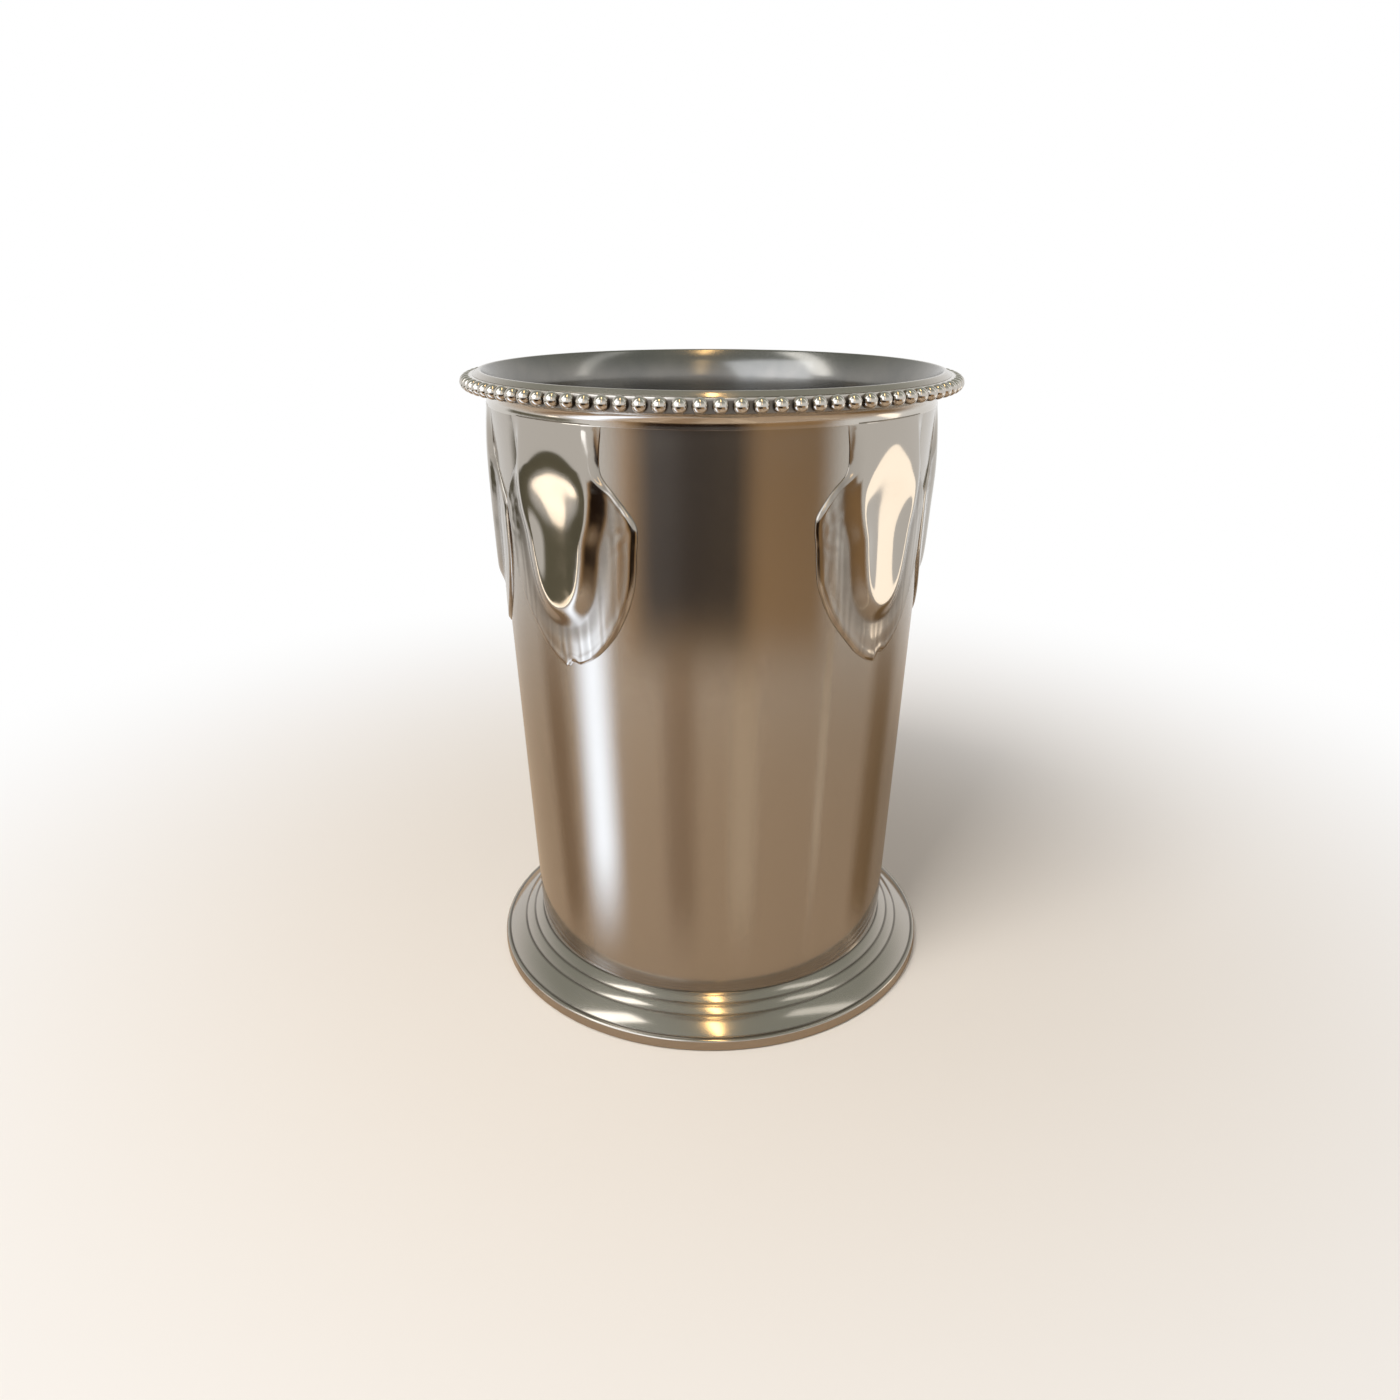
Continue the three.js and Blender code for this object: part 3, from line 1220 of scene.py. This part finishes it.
    def relief(self, across: float, down: float, to_dish: float, to_edge: float) -> tuple[float, float]:
        """Work out the relief at a point of the shell.

        Args:
            across: Distance to the right of the middle.
            down: Distance below the top.
            to_dish: Distance from the dish's edge.
            to_edge: Distance from the outline.

        Returns:
            Its height above the wall, and how much shade is painted on it.
        """
        if across * across <= smooth_curve(self.dish_curve, down):
            height, dark = self.hollow(across, down), 0.0
        else:
            height, dark = self.margins(across, down, to_dish)
        rising = (1 - min(max(down, 0.0) / self.neck_reach, 1.0)) ** 2
        height += (self.neck_height - height) * rising
        off_bead = (to_edge - self.bead_inset) / (self.bead_width * self.bead_inset)
        height += self.bead * math.exp(-off_bead ** 2) * (1 - rising)
        share = self.edge_share * (1 - rising)
        roll = share + (1 - share) * smooth_step(to_edge, 0.0, self.edge + self.neck_edge * rising)
        # The painted shade of furrow and ribs fades out up the neck, and a painted shadow line runs along the
        # outline.
        dark = max(dark * (1 - rising), self.edge_shadow * smooth_step(to_edge, self.edge_shadow_width, 0.0))
        return height * roll, dark

    def place(self, across: float, down: float, height: float) -> Vector:
        """Find a point of a shell at the front of the cup.

        Args:
            across: Distance to the right of the middle.
            down: Distance below the top.
            height: Height above the wall.

        Returns:
            The point, in metres.
        """
        level = self.top - down
        angle = across / self.turn_radius
        radius = self.body.wall_radius(level) + height
        return Vector((radius * math.sin(angle), -radius * math.cos(angle), level)) * MM

    def spread(self, mesh: BMesh) -> None:
        """Draw a square grid out to the shell's outline, with rows closer together towards the tip.

        Args:
            mesh: Grid from -1 to 1 each way, whose points then lie at their distance across and down.
        """
        for vert in mesh.verts:
            straight = (1 - vert.co.y) / 2
            closing = math.sin(straight * math.pi / 2)
            share = self.row_evenness * straight + (1 - self.row_evenness) * closing
            down = share * (self.length + self.tuck) - self.tuck
            vert.co = self.flat_place(vert.co.x * self.half_width(vert.co.x, down), down)

    def casting(self) -> bpy.types.Mesh:
        """Model one shell at the front of the cup.

        Returns:
            Its mesh, with its recesses marked.
        """
        mesh = bmesh.new()
        bmesh.ops.create_grid(mesh, x_segments=self.columns, y_segments=self.rows, size=1.0)
        layer = mesh.verts.layers.float.new(PAINTED_SHADE)
        self.spread(mesh)
        back = mesh.verts[:]
        made = bmesh.ops.extrude_face_region(mesh, geom=mesh.faces[:])["geom"]
        front = [item for item in made if isinstance(item, BMVert)]
        to_outline, to_dish = self.outline_finder(), self.dish_finder()
        for vert in front:
            across, down = vert.co.x, vert.co.y
            height, dark = self.relief(across, down, to_dish.find(vert.co)[2], to_outline.find(vert.co)[2])
            vert[layer] = dark
            vert.co = self.place(across, down, height)
        for vert in back:
            vert.co = self.place(vert.co.x, vert.co.y, -self.sink)
        bmesh.ops.smooth_vert(mesh, verts=front, factor=self.smoothing, use_axis_x=True, use_axis_y=True,
                              use_axis_z=True)
        bmesh.ops.recalc_face_normals(mesh, faces=mesh.faces[:])
        return smooth_data("cast_shell", mesh)

    def build(self) -> dict[str, bpy.types.Object]:
        """Cast the shells and turn each to its place.

        Returns:
            The finished pieces by the node that each stands for.
        """
        casting = self.casting()
        material = self.finish.make()
        pieces = {}
        for node, azimuth in self.azimuths().items():
            data = casting.copy()
            data.name = "cast_" + node
            data.transform(Matrix.Rotation(azimuth, 4, "Z"))
            pieces[node] = finished_object("cast_" + node, data, material)
        bpy.data.meshes.remove(casting)
        return pieces

    def dress(self, pieces: dict[str, bpy.types.Object]) -> None:
        """Put the shells in their nodes' places."""
        for node, piece in pieces.items():
            stand_for(piece, node)


@dataclass
class Softbox:
    """A soft lamp that faces the cup.

    Attributes:
        name: Name of the lamp.
        azimuth: Direction from the cup, in degrees from the front towards +X.
        elevation: Height above the horizon, in degrees.
        distance: Distance from the cup, in millimetres.
        width: Width of the lamp, in millimetres.
        height: Height of the lamp, in millimetres.
        glow: Brightness of its face, where 1 is white.
        duty: What it is there for.
        shape: Shape of its face.
        color: Colour of the light.
    """

    name: str
    azimuth: float
    elevation: float
    distance: float
    width: float
    height: float
    glow: float
    duty: Duty
    shape: LampShape = LampShape.SQUARE
    color: str = "#FFFFFF"

    def area(self) -> float:
        """Return the area of the lamp's face, in square metres."""
        square = self.width * self.height * MM * MM
        return square * math.pi / 4 if self.shape is LampShape.ROUND else square

    def build(self, aim: Vector) -> None:
        """Hang the lamp.

        Args:
            aim: Point that it faces, in metres.
        """
        light = bpy.data.lights.new(self.name, "AREA")
        light.shape = self.shape.value
        light.size = self.width * MM
        light.size_y = self.height * MM
        light.energy = self.glow * math.pi * self.area()
        light.color = to_linear(self.color)[:3]
        lamp = bpy.data.objects.new(self.name, light)
        turn, rise = math.radians(self.azimuth), math.radians(self.elevation)
        away = Vector((math.sin(turn) * math.cos(rise), -math.cos(turn) * math.cos(rise), math.sin(rise)))
        lamp.location = aim + away * self.distance * MM
        lamp.rotation_euler = away.to_track_quat("Z", "Y").to_euler()
        lamp.visible_camera = False
        lamp.visible_diffuse = self.duty is Duty.SET
        lamp.visible_glossy = self.duty is Duty.METAL
        bpy.context.scene.collection.objects.link(lamp)


@dataclass
class Mat:
    """A flat fan on the floor that the camera doesn't see, for the metal to mirror.

    Attributes:
        name: Name of the mat.
        start: Direction of its one side from its apex, in degrees.
        end: Direction of its other side, in degrees.
        near: Distance of its inner edge from its apex, in millimetres.
        far: Distance of its outer edge, in millimetres.
        lift: Height above the floor, in millimetres.
        finish: Its finish.
        soft_sides: Angle over which it thins out at its sides, in degrees, or 0 for a whole ring.
        soft_near: Width over which it thins out at its inner edge, in millimetres.
        soft_far: Width over which it thins out at its outer edge, in millimetres.
        apex: Where its sides would meet, in millimetres from the axis.
        steps: Number of stretches round its apex.
        rings: Number of stretches from its inner to its outer edge.
    """

    name: str
    start: float
    end: float
    near: float
    far: float
    lift: float
    finish: MatFinish
    soft_sides: float = 10.0
    soft_near: float = 60.0
    soft_far: float = 60.0
    apex: tuple[float, float] = (0.0, 0.0)
    steps: int = 96
    rings: int = 96

    def build(self) -> None:
        """Lay the mat down."""
        mesh = bmesh.new()
        ends = [mesh.verts.new(Vector((0.0, -out, self.lift)) * MM) for out in (self.near, self.far)]
        bmesh.ops.subdivide_edges(mesh, edges=[mesh.edges.new(ends)], cuts=self.rings - 1)
        turn = Matrix.Rotation(math.radians(self.start), 3, "Z")
        bmesh.ops.rotate(mesh, verts=mesh.verts[:], cent=(0, 0, 0), matrix=turn)
        bmesh.ops.spin(mesh, geom=mesh.verts[:] + mesh.edges[:], cent=(0, 0, 0), axis=(0, 0, 1),
                       angle=math.radians(self.end - self.start), steps=self.steps)
        layer = mesh.verts.layers.float.new(COVER)
        for vert in mesh.verts:
            vert[layer] = self.cover(vert)
        bmesh.ops.translate(mesh, verts=mesh.verts[:], vec=Vector((*self.apex, 0.0)) * MM)
        mat = finished_object(self.name, smooth_data(self.name, mesh), self.finish.make())
        mat.visible_camera = False
        mat.visible_diffuse = False
        mat.visible_shadow = False

    def cover(self, vert: BMVert) -> float:
        """Tell how dense the mat is at a point.

        Args:
            vert: A vertex of the mat, measured from its apex.

        Returns:
            1 on the mat, falling to 0 at its soft edges.
        """
        out = radius_of(vert)
        middle = math.radians(self.start + self.end) / 2
        aside = vert.co.x * math.cos(middle) + vert.co.y * math.sin(middle)
        ahead = vert.co.x * math.sin(middle) - vert.co.y * math.cos(middle)
        from_side = (self.end - self.start) / 2 - abs(math.degrees(math.atan2(aside, ahead)))
        sides = smooth_step(from_side, 0.0, self.soft_sides) if self.soft_sides > 0 else 1.0
        ends = smooth_step(out, self.near, self.near + self.soft_near)
        return sides * ends * smooth_step(out, self.far, self.far - self.soft_far)


@dataclass
class Studio:
    """Pale floor, white background, soft lamps, mats and the camera.

    Attributes:
        floor_size: Side of the floor, in millimetres.
        floor: Finish of the floor.
        fill: Strength of the light from all round.
        ceiling: Colour of the background overhead.
        ceiling_start: Sine of the elevation at which the white background starts to darken.
        ceiling_end: Sine of the elevation at which it has the ceiling's colour.
        camera_distance: From the cup's axis to the camera, in millimetres.
        camera_height: Height of the camera, in millimetres.
        camera_azimuth: Direction of the camera, in degrees from the front.
        camera_pitch: How far it looks down, in degrees.
        camera_roll: How far it is turned about its own axis, in degrees.
        focal_pixels: Focal length in pixels of the picture.
        picture: Side of the square picture, in pixels.
        optical_centre: Pixel that the camera's axis meets.
        sensor: Width of the camera's sensor, in millimetres.
        lamps: The soft lamps.
        mats: The mats that the metal mirrors.
    """

    floor_size: float = 6000.0
    floor: FloorFinish = FloorFinish("pale_floor_paper", "#EFE5D9")
    fill: float = 0.45
    ceiling: str = "#B0B4AC"
    ceiling_start: float = 0.2
    ceiling_end: float = 0.75
    camera_distance: float = 203.9
    camera_height: float = 128.6
    camera_azimuth: float = -3.6
    camera_pitch: float = 14.0
    camera_roll: float = 0.15
    focal_pixels: float = 1125.8
    picture: float = 1400.0
    optical_centre: tuple[float, float] = (711.5, 545.0)
    sensor: float = 36.0
    lamps: tuple[Softbox, ...] = (
        Softbox("key_softbox", -40.0, 52.0, 700.0, 320.0, 320.0, 11.0, Duty.SET),
        Softbox("left_strip", -74.0, 42.0, 500.0, 100.0, 420.0, 3.0, Duty.METAL),
        Softbox("right_strip", 80.0, 42.0, 500.0, 70.0, 420.0, 1.1, Duty.METAL),
        Softbox("front_softbox", -42.0, 25.0, 600.0, 500.0, 500.0, 1.9, Duty.METAL, color="#EEF4FF"),
        Softbox("front_strip", 3.0, 32.0, 600.0, 50.0, 340.0, 2.2, Duty.METAL, color="#FFD9A0"),
        Softbox("warm_lamp", 3.0, 76.0, 700.0, 45.0, 420.0, 12.0, Duty.METAL, LampShape.ROUND, "#FFD08A"),
        Softbox("left_disc", -83.6, -7.7, 191.1, 26.0, 16.0, 2.2, Duty.METAL, LampShape.ROUND, "#FFF0DC"),
        Softbox("right_disc", 87.9, -4.8, 185.6, 42.0, 72.0, 1.4, Duty.METAL, LampShape.ROUND, "#FFF0DC"),
    )
    mats: tuple[Mat, ...] = (
        Mat("tan_mat", -180.0, 180.0, 36.0, 330.0, 0.2, MatFinish("tan_felt", "#D6BCA0"), soft_sides=0.0,
            soft_near=3.0, soft_far=260.0),
        Mat("left_umber_mat", -121.0, -90.0, 14.0, 260.0, 0.3, MatFinish("umber_felt", "#A88B6E"),
            soft_sides=13.0, soft_near=24.0, soft_far=160.0, apex=(-17.8, -25.2)),
        Mat("middle_umber_mat", -38.0, -6.0, 22.0, 260.0, 0.3, MatFinish("umber_felt", "#B3977B"),
            soft_sides=14.0, soft_near=30.0, soft_far=160.0, apex=(-1.4, -20.1)),
        Mat("pale_mat", 3.0, 29.0, 22.0, 260.0, 0.3, MatFinish("pale_felt", "#EAD3B8"),
            soft_sides=11.0, soft_near=30.0, soft_far=160.0, apex=(-1.1, -20.2)),
        Mat("pale_band_mat", 61.0, 70.0, 18.0, 260.0, 0.3, MatFinish("pale_felt", "#F2DEC6"),
            soft_sides=3.5, soft_near=60.0, soft_far=120.0, apex=(4.9, -26.0)),
        Mat("right_umber_mat", 94.0, 135.0, 12.0, 260.0, 0.3, MatFinish("umber_felt", "#A2825C"),
            soft_sides=16.0, soft_near=24.0, soft_far=160.0, apex=(19.9, -25.8)),
        Mat("brown_mat", -60.0, 66.0, 140.0, 560.0, 0.4, MatFinish("brown_felt", "#B8946A"), soft_sides=20.0),
        Mat("dark_mat", -48.0, 23.0, 150.0, 560.0, 0.6, MatFinish("dark_felt", "#2A1D15"), soft_sides=18.0),
        Mat("olive_mat", -125.0, -68.0, 270.0, 560.0, 0.8, MatFinish("olive_felt", "#7A7664"),
            soft_sides=8.0),
        Mat("light_mat", -92.0, -56.0, 24.0, 240.0, 1.0, MatFinish("light_strip", "#E0ECFF", glow=2.2),
            soft_sides=18.0, soft_near=40.0, soft_far=70.0, apex=(-4.2, -23.2)),
    )

    def build(self) -> None:
        """Lay the floor, light the set and place the camera."""
        self.lay_floor()
        self.light_world()
        low, high = CAD_BOX
        for lamp in self.lamps:
            lamp.build((low + high) / 2)
            LOG.info("%s with a glow of %.1f", lamp.name, lamp.glow)
        for mat in self.mats:
            mat.build()
        self.place_camera()

    def lay_floor(self) -> None:
        """Lay the floor under the cup."""
        mesh = bmesh.new()
        bmesh.ops.create_grid(mesh, x_segments=1, y_segments=1, size=self.floor_size * MM / 2)
        floor = finished_object("floor", smooth_data("floor", mesh), self.floor.make())

    def light_world(self) -> None:
        """Make the background white where it is seen, and a soft fill where it only lights."""
        world = bpy.data.worlds.new("studio")
        world.use_nodes = True
        tree = world.node_tree
        tree.nodes.clear()
        way = add_node(tree, "ShaderNodeTexCoord").outputs["Generated"]
        rise = add_node(tree, "ShaderNodeSeparateXYZ", {"Vector": way}).outputs["Z"]
        overhead = add_node(tree, "ShaderNodeMapRange", {
            "Value": rise,
            "From Min": self.ceiling_start,
            "From Max": self.ceiling_end,
        }, interpolation_type="SMOOTHSTEP").outputs["Result"]
        seen = seen_ray(tree)
        dark = add_node(tree, "ShaderNodeMath", {0: overhead, 1: seen}, operation="MULTIPLY").outputs["Value"]
        colour = add_node(tree, "ShaderNodeMix", {
            "Factor": dark,
            "A": WHITE,
            "B": to_linear(self.ceiling),
        }, data_type="RGBA").outputs["Result"]
        level = add_node(tree, "ShaderNodeMapRange", {"Value": seen, "To Min": self.fill, "To Max": 1.0})
        sky = add_node(tree, "ShaderNodeBackground", {"Color": colour, "Strength": level.outputs["Result"]})
        add_node(tree, "ShaderNodeOutputWorld", {"Surface": sky.outputs["Background"]})
        bpy.context.scene.world = world

    def place_camera(self) -> None:
        """Set the camera at the photograph's place."""
        data = bpy.data.cameras.new("camera")
        data.sensor_width = self.sensor
        data.lens = self.sensor * self.focal_pixels / self.picture
        data.shift_x = (self.picture / 2 - self.optical_centre[0]) / self.picture
        data.shift_y = (self.optical_centre[1] - self.picture / 2) / self.picture
        data.clip_start = 1.0 * MM
        camera = bpy.data.objects.new("camera", data)
        turn = Matrix.Rotation(math.radians(self.camera_azimuth), 4, "Z")
        out = Matrix.Translation((0.0, -self.camera_distance * MM, self.camera_height * MM))
        tilt = Matrix.Rotation(math.radians(90.0 - self.camera_pitch), 4, "X")
        roll = Matrix.Rotation(math.radians(self.camera_roll), 4, "Z")
        camera.matrix_world = turn @ out @ tilt @ roll
        bpy.context.scene.collection.objects.link(camera)
        bpy.context.scene.camera = camera


def main() -> None:
    """Build the cup and the studio round it."""
    logging.basicConfig(level=logging.INFO, format="%(name)s: %(message)s")
    bpy.context.scene.view_settings.view_transform = "Standard"
    body = CupBody()
    for part in (body, BeadedRim(body), FootRing(body), OysterShell(body)):
        part.dress(part.build())
    Studio().build()


if __name__ == "__main__":
    main()
